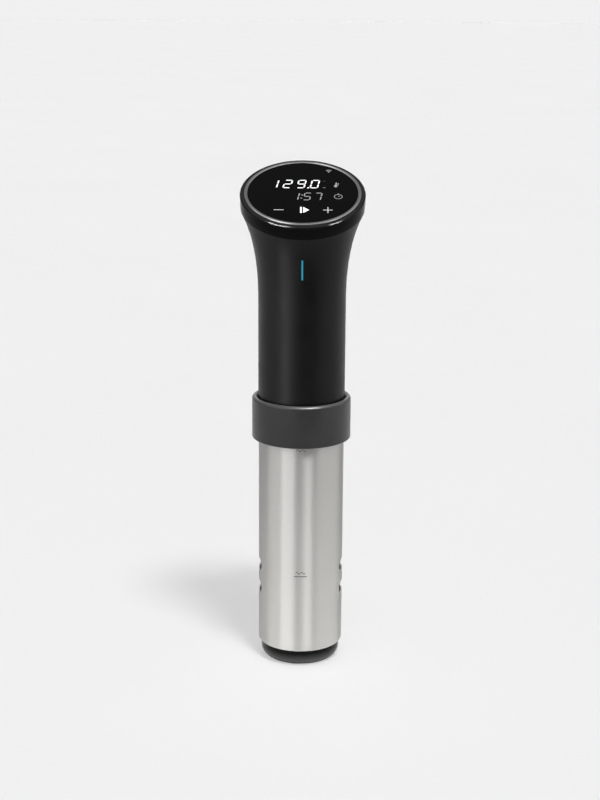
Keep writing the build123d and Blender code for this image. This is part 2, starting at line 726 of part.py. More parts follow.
def heater_terminals():
    bottom = flange_top + HEATER_PROUD
    tab = block((-TERMINAL_THICKNESS / 2, TERMINAL_THICKNESS / 2), (-TERMINAL_WIDTH / 2, TERMINAL_WIDTH / 2),
                (bottom, bottom + TERMINAL_HEIGHT))
    return group([place * tab for place in heater_leg_places()])


def temperature_probe():
    rod = disc(PROBE_RADIUS, PROBE_BOTTOM + PROBE_RADIUS, flange_top + PROBE_PROUD)
    tip = Pos(0, 0, PROBE_BOTTOM + PROBE_RADIUS) * Sphere(PROBE_RADIUS)
    return at_angle(PROBE_ANGLE, probe_circle) * (rod + tip)


def level_probes():
    pairs = zip(LEVEL_PROBE_ANGLES, LEVEL_PROBE_BOTTOMS)
    top = flange_top + PROBE_PROUD
    return group([at_angle(angle, probe_circle) * disc(LEVEL_PROBE_RADIUS, low, top) for angle, low in pairs])


# Control board and its parts, standing in rails in the upper handle
def control_board():
    half = CONTROL_WIDTH / 2
    return block((-half, half), (CONTROL_PLACE, CONTROL_PLACE + BOARD_THICKNESS),
                 (control_bottom, control_bottom + CONTROL_HEIGHT))


def behind_board(size, rise):
    width, depth, height = size
    face = CONTROL_PLACE + BOARD_THICKNESS
    low = control_bottom + rise
    return block((-width / 2, width / 2), (face, face + depth), (low, low + height))


def power_transformer():
    return behind_board(TRANSFORMER_SIZE, TRANSFORMER_RISE)


def relay():
    return behind_board(RELAY_SIZE, relay_rise)


def terminal_block():
    return behind_board(TERMINAL_BLOCK_SIZE, terminal_block_rise)


def filter_capacitors():
    height = control_bottom + CAPACITOR_RISE
    can = lying_disc(CAPACITOR_RADIUS, CONTROL_PLACE - CAPACITOR_LENGTH, CONTROL_PLACE, height)
    first = -CAPACITOR_SPACING * (CAPACITOR_COUNT - 1) / 2
    return group([Pos(first + step * CAPACITOR_SPACING, 0, 0) * can for step in range(CAPACITOR_COUNT)])


def radio_module():
    width, depth, height = RADIO_SIZE
    low = control_bottom + RADIO_RISE
    return block((-width / 2, width / 2), (CONTROL_PLACE - depth, CONTROL_PLACE), (low, low + height))


def cord_gland():
    outside = HANDLE_RADIUS + GLAND_PAD_PROUD
    inside = grip_bore - sqrt(grip_bore**2 - GLAND_LIP_RADIUS**2)
    back = grip_bore - inside
    gland = lying_disc(GLAND_FLANGE_RADIUS, outside, outside + GLAND_FLANGE, gland_height)
    gland += lying_disc(GLAND_RADIUS, back - GLAND_LIP, outside, gland_height)
    gland += lying_disc(GLAND_LIP_RADIUS, back - GLAND_LIP, back, gland_height)
    return gland - lying_disc(GLAND_BORE, 0, 2 * HANDLE_RADIUS, gland_height)


# Skirt: steel sleeve with outlet slots, bayonet ring inside its top, base cap held by its lip
def sleeve():
    lip = sleeve_radius - SLEEVE_LIP
    edge = SLEEVE_EDGE
    bend = edge * (1 - sqrt(0.5))
    low = sleeve_bottom
    tube = turned(
        Line((lip, low), (sleeve_radius - edge, low)),
        ThreePointArc((sleeve_radius - edge, low), (sleeve_radius - bend, low + bend),
                      (sleeve_radius, low + edge)),
        Polyline((sleeve_radius, low + edge), (sleeve_radius, sleeve_top), (sleeve_bore, sleeve_top),
                 (sleeve_bore, low + SLEEVE_WALL), (lip, low + SLEEVE_WALL), (lip, low)),
    )
    for height in SLOT_HEIGHTS:
        outline = Plane.YZ * Pos(0, height) * SlotOverall(SLOT_WIDTH, SLOT_HEIGHT)
        tube -= extrude(outline, 2 * sleeve_radius, both=True)
    return tube


def lock_ring():
    top = sleeve_top - LOCK_RING_DROP
    body = ring(lock_ring_radius, lock_ring_bore, top - LOCK_RING_HEIGHT, top)
    lug = ring_sector(lock_ring_bore + LOCK_RING_WALL / 2, lock_ring_bore - LUG_DEPTH, lug_bottom,
                      lug_bottom + LUG_HEIGHT, -LUG_ANGLE / 2, LUG_ANGLE / 2)
    for step in range(LUG_COUNT):
        body += Rot(0, 0, step * 360 / LUG_COUNT) * lug
    return body


def base_cap():
    flat = foot_radius - FOOT_ROUND
    seat = sleeve_bottom + SLEEVE_WALL
    collar = sleeve_bore - SEAT_GAP
    inner = foot_radius - FOOT_WALL
    opening = flat - FOOT_RIM
    cap = turned(
        EllipticalCenterArc((flat, FOOT_ROUND_HEIGHT), FOOT_ROUND, FOOT_ROUND_HEIGHT, 270),
        Polyline((foot_radius, FOOT_ROUND_HEIGHT), (foot_radius, seat), (collar, seat),
                 (collar, seat + FOOT_COLLAR), (inner, seat + FOOT_COLLAR), (inner, FOOT_FLOOR),
                 (opening, FOOT_FLOOR), (opening, 0), (flat, 0)),
    )
    cap += disc(FOOT_HUB_RADIUS, 0, FOOT_FLOOR)
    for step in range(SPOKE_COUNT):
        spoke = block((0, opening + FOOT_RIM / 2), (-SPOKE_WIDTH / 2, SPOKE_WIDTH / 2),
                      (SPOKE_LIFT, FOOT_FLOOR))
        cap += Rot(0, 0, step * 360 / SPOKE_COUNT) * spoke
    return cap


# Clamp: collar round the body with a soft liner, and a hook for the pot wall behind it
def clamp_liner():
    return ring(liner_radius, liner_bore, collar_bottom + LINER_MARGIN + SLIDE_GAP / 2,
                collar_top - LINER_MARGIN - SLIDE_GAP / 2)


def clamp_ring():
    bore = HANDLE_RADIUS + COLLAR_BORE_GAP
    edge = COLLAR_EDGE
    foot = COLLAR_FOOT_EDGE
    bend = 1 - sqrt(0.5)
    recess = liner_radius + SLIDE_GAP / 2
    low, high = collar_bottom, collar_top
    outer = collar_radius
    body = turned(
        Line((bore, low), (outer - foot, low)),
        ThreePointArc((outer - foot, low), (outer - foot * bend, low + foot * bend), (outer, low + foot)),
        Line((outer, low + foot), (outer, high - edge)),
        ThreePointArc((outer, high - edge), (outer - edge * bend, high - edge * bend), (outer - edge, high)),
        Polyline((outer - edge, high), (bore + COLLAR_CHAMFER, high), (bore, high - COLLAR_CHAMFER),
                 (bore, high - LINER_MARGIN), (recess, high - LINER_MARGIN), (recess, low + LINER_MARGIN),
                 (bore, low + LINER_MARGIN), (bore, low)),
    )
    half = COLLAR_BOSS_WIDTH / 2
    boss = block((-half, half), (0, boss_reach), (low, high))
    boss = fillet(boss.faces().sort_by(Axis.Y)[-1].edges(), COLLAR_BOSS_EDGE)
    boss -= disc(collar_radius - edge, low - CUT_PAST, high + CUT_PAST)
    body += boss
    for place in hook_screw_places():
        body -= place * lying_disc(SCREW_RADIUS + SEAT_GAP, hook_screw_end, boss_reach + CUT_PAST, 0)
    return body


def hook_screw_places():
    height = collar_top - HOOK_SCREW_RISE
    return [Pos(side * HOOK_SCREW_SPACING / 2, 0, height) for side in (-1, 1)]


def pot_hook():
    top = collar_top
    half = HOOK_WIDTH / 2
    outline = Polyline(
        (boss_reach, top), (outer_leg_back, top), (outer_leg_back, top - HOOK_OUTER_DROP),
        (outer_leg_face, top - HOOK_OUTER_DROP), (outer_leg_face, top - HOOK_BRIDGE),
        (jaw_face, top - HOOK_BRIDGE), (jaw_face, top - HOOK_INNER_DROP),
        (boss_reach, top - HOOK_INNER_DROP), (boss_reach, top),
    )
    hook = extrude(Plane.YZ * make_face(outline), half, both=True)
    crown = hook.edges().filter_by(Axis.X).group_by(Axis.Z)[-1].sort_by(Axis.Y)[-1]
    hook = fillet(crown, HOOK_EDGE)
    for place in hook_screw_places():
        hook -= place * lying_disc(SCREW_RADIUS + SEAT_GAP, boss_reach - CUT_PAST,
                                   jaw_face + CUT_PAST, 0)
        hook -= place * lying_disc(SCREW_HEAD_RADIUS + SEAT_GAP, jaw_face - HOOK_SCREW_HEAD,
                                   jaw_face + CUT_PAST, 0)
    return hook - lying_disc(INSERT_RADIUS + SEAT_GAP, jaw_face + HOOK_GAP / 2, insert_back, clamp_height)


def hook_screws():
    screws = []
    for place in hook_screw_places():
        under = jaw_face - HOOK_SCREW_HEAD
        head_part = lying_disc(SCREW_HEAD_RADIUS, under, jaw_face, 0)
        shank = lying_disc(SCREW_RADIUS, hook_screw_end + SEAT_GAP, under, 0)
        screws.append(place * (head_part + shank))
    return group(screws)


def jaw_pad():
    half = JAW_PAD_WIDTH / 2
    low = collar_top - HOOK_INNER_DROP + JAW_PAD_RISE
    return block((-half, half), (jaw_face, jaw_face + JAW_PAD_THICKNESS), (low, low + JAW_PAD_LENGTH))


def thread_insert():
    bush = lying_disc(INSERT_RADIUS, outer_leg_face, outer_leg_back, clamp_height)
    bush += lying_disc(INSERT_FLANGE_RADIUS, outer_leg_back, insert_back, clamp_height)
    return bush - lying_disc(CLAMP_SCREW_RADIUS + RUN_GAP, jaw_face, knob_front, clamp_height)


def pressure_pad():
    pad = lying_disc(PAD_RADIUS, pad_front, pad_back, clamp_height)
    pad = chamfer(pad.edges().group_by(Axis.Y)[-1], PAD_EDGE)
    return pad - lying_disc(CLAMP_SCREW_RADIUS + RUN_GAP, pad_back - PAD_SOCKET,
                            pad_back + CUT_PAST, clamp_height)


def clamp_screw():
    start = pad_back - PAD_SOCKET + SEAT_GAP
    return lying_disc(CLAMP_SCREW_RADIUS, start, knob_front + KNOB_BITE, clamp_height)


def clamp_knob():
    grip = disc(KNOB_RADIUS, 0, KNOB_LENGTH)
    ends = grip.edges().filter_by(GeomType.CIRCLE)
    grip = fillet(ends, KNOB_EDGE)
    circle = KNOB_RADIUS + KNOB_LOBE_RADIUS - KNOB_LOBE_DEPTH
    for place in round_places(KNOB_LOBES, circle, 0):
        grip -= place * disc(KNOB_LOBE_RADIUS, -CUT_PAST, KNOB_LENGTH + CUT_PAST)
    grip -= disc(CLAMP_SCREW_RADIUS, -CUT_PAST, KNOB_BITE)
    return Pos(0, knob_front, clamp_height) * Rot(-90, 0, 0) * grip


makers = (
    handle_shell, head_cap, bezel_ring, display_lens, lens_gasket, display_board, led_module, touch_pads,
    display_screws, status_light_guide, status_led, control_board, power_transformer, relay,
    filter_capacitors, radio_module, terminal_block, cord_gland, motor_can, motor_end_plate, motor_stator,
    upper_bearing, lower_bearing, motor_mount, motor_screws, mount_screws, bulkhead, bulkhead_seal,
    bulkhead_screws, shaft_tube, shaft_seal, lower_bush, heater_coil, heater_terminals, temperature_probe,
    level_probes, drive_shaft, motor_rotor, cooling_fan, impeller, impeller_nut, sleeve, lock_ring, base_cap,
    clamp_liner, clamp_ring, pot_hook, hook_screws, jaw_pad, thread_insert, pressure_pad, clamp_screw,
    clamp_knob,
)
for maker in makers:
    export_step(maker(), f"parts/{maker.__name__}.step")
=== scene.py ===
import json
import math

import bpy
from mathutils import Matrix, Vector


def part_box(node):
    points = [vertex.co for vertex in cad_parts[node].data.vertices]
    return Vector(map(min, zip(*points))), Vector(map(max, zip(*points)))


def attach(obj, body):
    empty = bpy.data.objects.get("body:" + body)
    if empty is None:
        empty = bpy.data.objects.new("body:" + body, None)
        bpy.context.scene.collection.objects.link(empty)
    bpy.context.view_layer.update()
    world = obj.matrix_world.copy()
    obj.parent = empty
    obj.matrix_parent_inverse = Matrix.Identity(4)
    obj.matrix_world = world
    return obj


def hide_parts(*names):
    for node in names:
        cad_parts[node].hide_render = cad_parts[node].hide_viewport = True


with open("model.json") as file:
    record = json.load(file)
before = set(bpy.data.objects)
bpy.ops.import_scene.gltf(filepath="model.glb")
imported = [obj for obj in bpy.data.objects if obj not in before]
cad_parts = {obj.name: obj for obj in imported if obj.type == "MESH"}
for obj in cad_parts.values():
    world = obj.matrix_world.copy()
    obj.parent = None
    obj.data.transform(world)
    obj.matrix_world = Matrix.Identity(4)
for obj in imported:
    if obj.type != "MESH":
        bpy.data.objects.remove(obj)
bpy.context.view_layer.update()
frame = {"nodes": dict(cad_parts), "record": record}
print("frame loaded:", len(frame["nodes"]), "nodes")

mm = 0.001


# Small helpers for working by operator

def clearSelection():
    if bpy.context.object and bpy.context.object.mode != "OBJECT":
        bpy.ops.object.mode_set(mode="OBJECT")
    bpy.ops.object.select_all(action="DESELECT")


def pickOnly(piece):
    clearSelection()
    piece.select_set(True)
    bpy.context.view_layer.objects.active = piece


def editAll(piece):
    pickOnly(piece)
    bpy.ops.object.mode_set(mode="EDIT")
    bpy.ops.mesh.select_all(action="SELECT")


def leaveEdit():
    bpy.ops.object.mode_set(mode="OBJECT")


def editFaces(piece, wanted):
    pickOnly(piece)
    bpy.context.tool_settings.mesh_select_mode = (False, False, True)
    bpy.ops.object.mode_set(mode="EDIT")
    bpy.ops.mesh.select_all(action="DESELECT")
    bpy.ops.object.mode_set(mode="OBJECT")
    for face in piece.data.polygons:
        face.select = wanted(face)
    bpy.ops.object.mode_set(mode="EDIT")


def settle(piece):
    pickOnly(piece)
    bpy.ops.object.transform_apply(location=True, rotation=True, scale=True)


def applyModifier(piece, kind, **values):
    pickOnly(piece)
    change = piece.modifiers.new(kind.title(), kind)
    for key, value in values.items():
        setattr(change, key, value)
    bpy.ops.object.modifier_apply(modifier=change.name)


def joinPieces(pieces, name):
    clearSelection()
    for piece in pieces:
        piece.select_set(True)
    bpy.context.view_layer.objects.active = pieces[0]
    if len(pieces) > 1:
        bpy.ops.object.join()
    whole = bpy.context.object
    whole.name = name
    whole.data.name = name
    return whole


def placeBy(piece, matrix):
    pickOnly(piece)
    piece.matrix_world = matrix
    settle(piece)


def faceOut(piece, merge=1e-6):
    editAll(piece)
    bpy.ops.mesh.remove_doubles(threshold=merge)
    bpy.ops.mesh.select_all(action="SELECT")
    bpy.ops.mesh.normals_make_consistent(inside=False)
    leaveEdit()


def dress(piece, finish, body):
    piece.data.materials.clear()
    piece.data.materials.append(finish)
    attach(piece, body)
    return piece


# Small helpers for node trees

def newFinish(name):
    finish = bpy.data.materials.new(name)
    finish.use_nodes = True
    tree = finish.node_tree
    return finish, tree, tree.nodes["Principled BSDF"]


def addNode(tree, kind, links=None, **values):
    node = tree.nodes.new(kind)
    for key, value in values.items():
        if key in node.inputs:
            node.inputs[key].default_value = value
        else:
            setattr(node, key, value)
    for key, socket in (links or {}).items():
        tree.links.new(socket, node.inputs[key])
    return node


def objectPlace(tree, stretch=(1, 1, 1)):
    place = addNode(tree, "ShaderNodeTexCoord")
    mapping = addNode(tree, "ShaderNodeMapping", {"Vector": place.outputs["Object"]})
    mapping.inputs["Scale"].default_value = stretch
    return mapping.outputs["Vector"]


def noise(tree, place, scale, detail=2.0, rough=0.5):
    node = addNode(tree, "ShaderNodeTexNoise", {"Vector": place})
    node.inputs["Scale"].default_value = scale
    node.inputs["Detail"].default_value = detail
    node.inputs["Roughness"].default_value = rough
    return node.outputs["Fac"]


def spread(tree, socket, low, high, fromLow=0.3, fromHigh=0.7):
    node = addNode(tree, "ShaderNodeMapRange", {"Value": socket})
    node.inputs["From Min"].default_value = fromLow
    node.inputs["From Max"].default_value = fromHigh
    node.inputs["To Min"].default_value = low
    node.inputs["To Max"].default_value = high
    return node.outputs["Result"]


def mixColours(tree, socket, first, second):
    node = addNode(tree, "ShaderNodeMix", data_type="RGBA")
    tree.links.new(socket, node.inputs[0])
    node.inputs[6].default_value = (*first, 1)
    node.inputs[7].default_value = (*second, 1)
    return node.outputs[2]


def mixOver(tree, mask, under, colour):
    node = addNode(tree, "ShaderNodeMix", data_type="RGBA")
    tree.links.new(mask, node.inputs[0])
    tree.links.new(under, node.inputs[6])
    node.inputs[7].default_value = (*colour, 1)
    return node.outputs[2]


def heightBand(tree, low, peakLow, peakHigh, high):
    height = addNode(tree, "ShaderNodeSeparateXYZ", {"Vector": objectPlace(tree)}).outputs["Z"]
    rise = spread(tree, height, 0, 1, low, peakLow)
    fall = spread(tree, height, 1, 0, peakHigh, high)
    return addNode(tree, "ShaderNodeMath", {0: rise, 1: fall}, operation="MULTIPLY").outputs[0]


def bumpFrom(tree, shader, socket, depth, strength=1.0):
    node = addNode(tree, "ShaderNodeBump", {"Height": socket})
    node.inputs["Strength"].default_value = strength
    node.inputs["Distance"].default_value = depth
    tree.links.new(node.outputs["Normal"], shader.inputs["Normal"])


# The head's tilted plane, how far along its normal the cap reaches, and how deep the painted highlight on the
# cap's rounded top edge runs
headSettings = {"tilt": math.radians(24.8), "lift": 0.00002, "thick": 0.00006, "shoulder": 0.0016}
headNormal = Vector((0, -math.sin(headSettings["tilt"]), math.cos(headSettings["tilt"])))
capTop = max(corner.co.dot(headNormal) for corner in frame["nodes"]["head_cap"].data.vertices)


def headHeight(tree):
    node = addNode(tree, "ShaderNodeVectorMath", {0: objectPlace(tree)}, operation="DOT_PRODUCT")
    node.inputs[1].default_value = headNormal
    return node.outputs["Value"]


# Finishes

def mouldedFinish(name, look):
    finish, tree, shader = newFinish(name)
    place = objectPlace(tree)
    cloud = noise(tree, place, look["cloud"], 3)
    grain = noise(tree, place, look["grain"])
    colour = mixColours(tree, spread(tree, cloud, 0, 1), look["dark"], look["light"])
    # a lighter band by height: a painted highlight on an edge
    if look.get("paintedHighlightBand"):
        colour = mixOver(tree, heightBand(tree, *look["paintedHighlightBand"]), colour, look["paintedHighlightColour"])
    # a lighter band just under the cap's top: a painted highlight on its rounded top edge
    if look.get("shoulder"):
        mask = spread(tree, headHeight(tree), 0, 1, capTop - headSettings["shoulder"], capTop)
        colour = mixOver(tree, mask, colour, look["shoulder"])
    tree.links.new(colour, shader.inputs["Base Color"])
    tree.links.new(spread(tree, cloud, *look["rough"]), shader.inputs["Roughness"])
    bumpFrom(tree, shader, grain, look["depth"], look.get("strength", 1.0))
    shader.inputs["Specular IOR Level"].default_value = look.get("gloss", 0.5)
    return finish


def brushedFinish(name, look):
    finish, tree, shader = newFinish(name)
    lines = noise(tree, objectPlace(tree, look["stretch"]), look["lines"], 4, 0.65)
    broad = noise(tree, objectPlace(tree), look["cloud"], 2)
    colour = mixColours(tree, spread(tree, lines, 0, 1), look["dark"], look["light"])
    # base colour darker towards the top: painted shade
    if look.get("paintedTopShade"):
        height = addNode(tree, "ShaderNodeSeparateXYZ", {"Vector": objectPlace(tree)})
        paintedTopShade = spread(tree, height.outputs["Z"], *look["paintedTopShade"], *look["paintedTopShadeSpan"])
        tone = addNode(tree, "ShaderNodeVectorMath", {0: colour, 1: paintedTopShade}, operation="MULTIPLY")
        colour = tone.outputs["Vector"]
    tree.links.new(colour, shader.inputs["Base Color"])
    shader.inputs["Specular Tint"].default_value = (*[look.get("edge", 1.0)] * 3, 1)
    mixed = addNode(tree, "ShaderNodeMath", operation="ADD")
    tree.links.new(spread(tree, lines, *look["rough"]), mixed.inputs[0])
    tree.links.new(spread(tree, broad, -look["drift"], look["drift"]), mixed.inputs[1])
    tree.links.new(mixed.outputs[0], shader.inputs["Roughness"])
    bumpFrom(tree, shader, lines, look["depth"], look.get("strength", 1.0))
    shader.inputs["Metallic"].default_value = 1.0
    if look.get("around"):
        tangent = addNode(tree, "ShaderNodeTangent", direction_type="RADIAL", axis="Z")
        tree.links.new(tangent.outputs["Tangent"], shader.inputs["Tangent"])
        shader.inputs["Anisotropic"].default_value = look["around"]
        shader.inputs["Anisotropic Rotation"].default_value = 0.25
    return finish


def boardFinish(name, look):
    finish, tree, shader = newFinish(name)
    place = objectPlace(tree)
    tracks = addNode(tree, "ShaderNodeTexBrick", {"Vector": place})
    tracks.inputs["Scale"].default_value = look["tracks"]
    tracks.inputs["Color1"].default_value = (*look["dark"], 1)
    tracks.inputs["Color2"].default_value = (*look["light"], 1)
    tracks.inputs["Mortar"].default_value = (*look["copper"], 1)
    tracks.inputs["Mortar Size"].default_value = 0.012
    tree.links.new(tracks.outputs["Color"], shader.inputs["Base Color"])
    tree.links.new(spread(tree, noise(tree, place, look["cloud"], 3), *look["rough"]),
                   shader.inputs["Roughness"])
    bumpFrom(tree, shader, tracks.outputs["Fac"], look["depth"])
    return finish


def litFinish(name, look):
    finish, tree, shader = newFinish(name)
    place = objectPlace(tree)
    cloud = spread(tree, noise(tree, place, look["cloud"], 2), 0, 1)
    tint = mixColours(tree, cloud, look["dim"], look["bright"])
    if look.get("sides"):
        across = addNode(tree, "ShaderNodeSeparateXYZ", {"Vector": place}).outputs["X"]
        apart = addNode(tree, "ShaderNodeMath", {0: across}, operation="ABSOLUTE").outputs[0]
        tint = mixOver(tree, spread(tree, apart, 0, 1, *look["sides"]), tint, look["sideColour"])
    tree.links.new(tint, shader.inputs["Emission Color"])
    shader.inputs["Emission Strength"].default_value = look["power"]
    shader.inputs["Base Color"].default_value = (*look["body"], 1)
    shader.inputs["Roughness"].default_value = 0.4
    shader.inputs["Specular IOR Level"].default_value = 0.1
    return finish


# the collar's top edge, where a band of painted highlight is laid
collarPaintedHighlight = {"top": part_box("clamp_ring")[1].z, "from": 0.0016, "full": 0.0004, "past": 0.001, "end": 0.002}
finishes = {
    "soft_black_plastic": mouldedFinish("softBlackHandle", {
        "dark": (0.0036, 0.0036, 0.0039), "light": (0.0050, 0.0050, 0.0054), "cloud": 60, "grain": 2600,
        "rough": (0.36, 0.44), "depth": 0.00003, "strength": 0.3, "gloss": 0.165}),
    # the cap's rounded top edge is lighter: a painted highlight
    "gloss_black_plastic": mouldedFinish("glossBlackHead", {
        "dark": (0.0022, 0.0022, 0.0024), "light": (0.0032, 0.0032, 0.0035), "cloud": 90, "grain": 420,
        "rough": (0.08, 0.13), "depth": 0.00001, "strength": 0.1, "gloss": 0.05,
        "shoulder": (0.024, 0.024, 0.0245)}),
    "satin_silver": brushedFinish("satinRing", {
        "dark": (0.40, 0.40, 0.403), "light": (0.48, 0.48, 0.484), "stretch": (1, 1, 1), "lines": 2400,
        "cloud": 120, "rough": (0.3, 0.38), "drift": 0.03, "depth": 0.000004}),
    "dark_lens": mouldedFinish("darkLens", {
        "dark": (0.0026, 0.0026, 0.0028), "light": (0.0033, 0.0033, 0.0035), "cloud": 40, "grain": 300,
        "rough": (0.06, 0.1), "depth": 0.000004, "strength": 0.05, "gloss": 0.05}),
    "seal_rubber": mouldedFinish("sealRubber", {
        "dark": (0.012, 0.012, 0.012), "light": (0.02, 0.02, 0.02), "cloud": 140, "grain": 1900,
        "rough": (0.6, 0.74), "depth": 0.00005, "strength": 0.5, "gloss": 0.3}),
    "circuit_board": boardFinish("greenBoard", {
        "dark": (0.012, 0.085, 0.04), "light": (0.018, 0.11, 0.055), "copper": (0.05, 0.21, 0.1),
        "tracks": 260, "cloud": 200, "rough": (0.32, 0.45), "depth": 0.00003}),
    "light_plastic": mouldedFinish("lightPlastic", {
        "dark": (0.66, 0.66, 0.62), "light": (0.76, 0.76, 0.73), "cloud": 110, "grain": 1500,
        "rough": (0.4, 0.5), "depth": 0.00003, "strength": 0.3}),
    "screw_steel": brushedFinish("screwSteel", {
        "dark": (0.5, 0.5, 0.5), "light": (0.62, 0.62, 0.61), "stretch": (1, 1, 1), "lines": 1800,
        "cloud": 300, "rough": (0.2, 0.3), "drift": 0.04, "depth": 0.000008}),
    "blue_light": litFinish("blueStatus", {
        "dim": (0.026, 0.31, 0.47), "bright": (0.04, 0.38, 0.55), "body": (0.01, 0.06, 0.1), "cloud": 180,
        "power": 0.95, "sides": (0.00012, 0.0006), "sideColour": (0.0, 0.04, 0.06)}),
    "component_black": mouldedFinish("componentBlack", {
        "dark": (0.014, 0.014, 0.015), "light": (0.03, 0.03, 0.031), "cloud": 260, "grain": 2100,
        "rough": (0.42, 0.56), "depth": 0.00003, "strength": 0.4}),
    "motor_steel": brushedFinish("motorSteel", {
        "dark": (0.36, 0.36, 0.36), "light": (0.47, 0.47, 0.47), "stretch": (0.06, 0.06, 1), "lines": 1500,
        "cloud": 120, "rough": (0.3, 0.42), "drift": 0.04, "depth": 0.00001}),
    "inner_plastic": mouldedFinish("innerPlastic", {
        "dark": (0.028, 0.028, 0.031), "light": (0.046, 0.046, 0.05), "cloud": 120, "grain": 1600,
        "rough": (0.45, 0.58), "depth": 0.00004, "strength": 0.4}),
    "heater_steel": brushedFinish("heaterSteel", {
        "dark": (0.4, 0.39, 0.375), "light": (0.56, 0.55, 0.53), "stretch": (1, 1, 0.1), "lines": 900,
        "cloud": 160, "rough": (0.26, 0.38), "drift": 0.05, "depth": 0.00001}),
    "thread_brass": brushedFinish("turnedBrass", {
        "dark": (0.5, 0.36, 0.15), "light": (0.64, 0.48, 0.22), "stretch": (1, 0.1, 1), "lines": 1700,
        "cloud": 200, "rough": (0.22, 0.34), "drift": 0.04, "depth": 0.000008}),
    # the sleeve's colour is darker towards its top: painted shade
    "brushed_sleeve": brushedFinish("brushedSleeve", {
        "dark": (0.735, 0.725, 0.702), "light": (0.775, 0.765, 0.742), "stretch": (0.03, 0.03, 1),
        "lines": 5200, "cloud": 30, "rough": (0.41, 0.45), "drift": 0.01, "depth": 0.0000015,
        "strength": 0.4, "around": 0.98, "edge": 0.7, "paintedTopShade": (1.0, 0.71), "paintedTopShadeSpan": (0.012, 0.16)}),
    # the foot's band just above its bottom edge is lighter: a painted highlight
    "foot_plastic": mouldedFinish("footPlastic", {
        "dark": (0.002, 0.002, 0.0021), "light": (0.003, 0.003, 0.0031), "cloud": 90, "grain": 900,
        "rough": (0.1, 0.16), "depth": 0.00001, "strength": 0.1, "gloss": 0.13,
        "paintedHighlightBand": (0.0012, 0.0026, 0.0030, 0.0082), "paintedHighlightColour": (0.13, 0.13, 0.128)}),
    # the band along the collar's top edge is lighter: a painted highlight
    "grey_plastic": mouldedFinish("collarGrey", {
        "dark": (0.026, 0.026, 0.0271), "light": (0.031, 0.031, 0.0322), "cloud": 70, "grain": 2300,
        "rough": (0.31, 0.38), "depth": 0.00003, "strength": 0.3, "gloss": 0.36,
        "paintedHighlightBand": (collarPaintedHighlight["top"] - collarPaintedHighlight["from"], collarPaintedHighlight["top"] - collarPaintedHighlight["full"],
                collarPaintedHighlight["top"] + collarPaintedHighlight["past"], collarPaintedHighlight["top"] + collarPaintedHighlight["end"]),
        "paintedHighlightColour": (0.09, 0.09, 0.092)}),
}
markFinishes = {
    "bright": litFinish("displayBright", {
        "dim": (0.9, 0.93, 0.95), "bright": (1.0, 1.0, 1.0), "body": (0.3, 0.3, 0.3), "cloud": 400,
        "power": 1.25}),
    "clear": litFinish("displayClear", {
        "dim": (0.86, 0.88, 0.9), "bright": (0.95, 0.96, 0.97), "body": (0.2, 0.2, 0.2), "cloud": 400,
        "power": 0.76}),
    "mid": litFinish("displayMid", {
        "dim": (0.62, 0.63, 0.64), "bright": (0.75, 0.76, 0.77), "body": (0.1, 0.1, 0.1), "cloud": 400,
        "power": 0.5}),
    "faint": litFinish("displayFaint", {
        "dim": (0.3, 0.31, 0.32), "bright": (0.38, 0.39, 0.4), "body": (0.03, 0.03, 0.03), "cloud": 400,
        "power": 0.42}),
    "ghost": litFinish("displayGhost", {
        "dim": (0.3, 0.31, 0.32), "bright": (0.38, 0.39, 0.4), "body": (0.01, 0.01, 0.01), "cloud": 400,
        "power": 0.1}),
    "print": mouldedFinish("levelPrint", {
        "dark": (0.11, 0.11, 0.108), "light": (0.15, 0.148, 0.145), "cloud": 500, "grain": 2500,
        "rough": (0.5, 0.6), "depth": 0.000005, "strength": 0.3}),
}
print("finishes made:", len(finishes) + len(markFinishes))

# Every node takes the finish of its slot, smooth between its sharp edges
nodeSlots = {part["node"]: part["material_slot"] for part in frame["record"]["subparts"]}
smoothing = {"weld": 0.00001, "sharp": math.radians(28)}
for name, node in frame["nodes"].items():
    node.data.materials.clear()
    node.data.materials.append(finishes[nodeSlots[name]])
    node.data.polygons.foreach_set("use_smooth", [True] * len(node.data.polygons))
    weld = node.modifiers.new("Weld", "WELD")
    weld.merge_threshold = smoothing["weld"]
    split = node.modifiers.new("Sharp", "EDGE_SPLIT")
    split.split_angle = smoothing["sharp"]
print("nodes dressed:", len(frame["nodes"]))


# Display marks, drawn on the face of the lens

lensLow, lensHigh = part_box("display_lens")
lensThick = 1.6 * mm
lensFace = (lensLow + lensHigh) / 2 + headNormal * (lensThick / 2 + headSettings["lift"])
headPlace = Matrix.Translation(lensFace) @ Matrix.Rotation(headSettings["tilt"], 4, "X")


def addBar(start, end, width, point=0.45, steps=1):
    begin, finishAt = Vector((*start, 0)) * mm, Vector((*end, 0)) * mm
    along = finishAt - begin
    bpy.ops.mesh.primitive_plane_add(size=1, location=(begin + finishAt) / 2,
                                     rotation=(0, 0, math.atan2(along.y, along.x)))
    bar = bpy.context.object
    bar.scale = (along.length, width * mm, 1)
    settle(bar)
    editAll(bar)
    bpy.ops.mesh.bevel(offset=width * mm * point, segments=steps, affect="VERTICES")
    leaveEdit()
    return bar


def addDisc(centre, radius, steps=24, squash=1.0):
    bpy.ops.mesh.primitive_circle_add(vertices=steps, radius=radius * mm, fill_type="NGON",
                                      location=Vector((*centre, 0)) * mm)
    disc = bpy.context.object
    disc.scale = (1, squash, 1)
    settle(disc)
    editAll(disc)
    bpy.ops.mesh.inset(thickness=radius * mm * 0.3, depth=0)
    leaveEdit()
    return disc


def addArc(centre, radius, width, fromAngle, toAngle, steps=16):
    angles = [math.radians(fromAngle + (toAngle - fromAngle) * step / steps) for step in range(steps + 1)]
    spots = [(centre[0] + radius * math.cos(a), centre[1] + radius * math.sin(a)) for a in angles]
    return [addBar(spots[i], spots[i + 1], width, 0.2) for i in range(steps)]


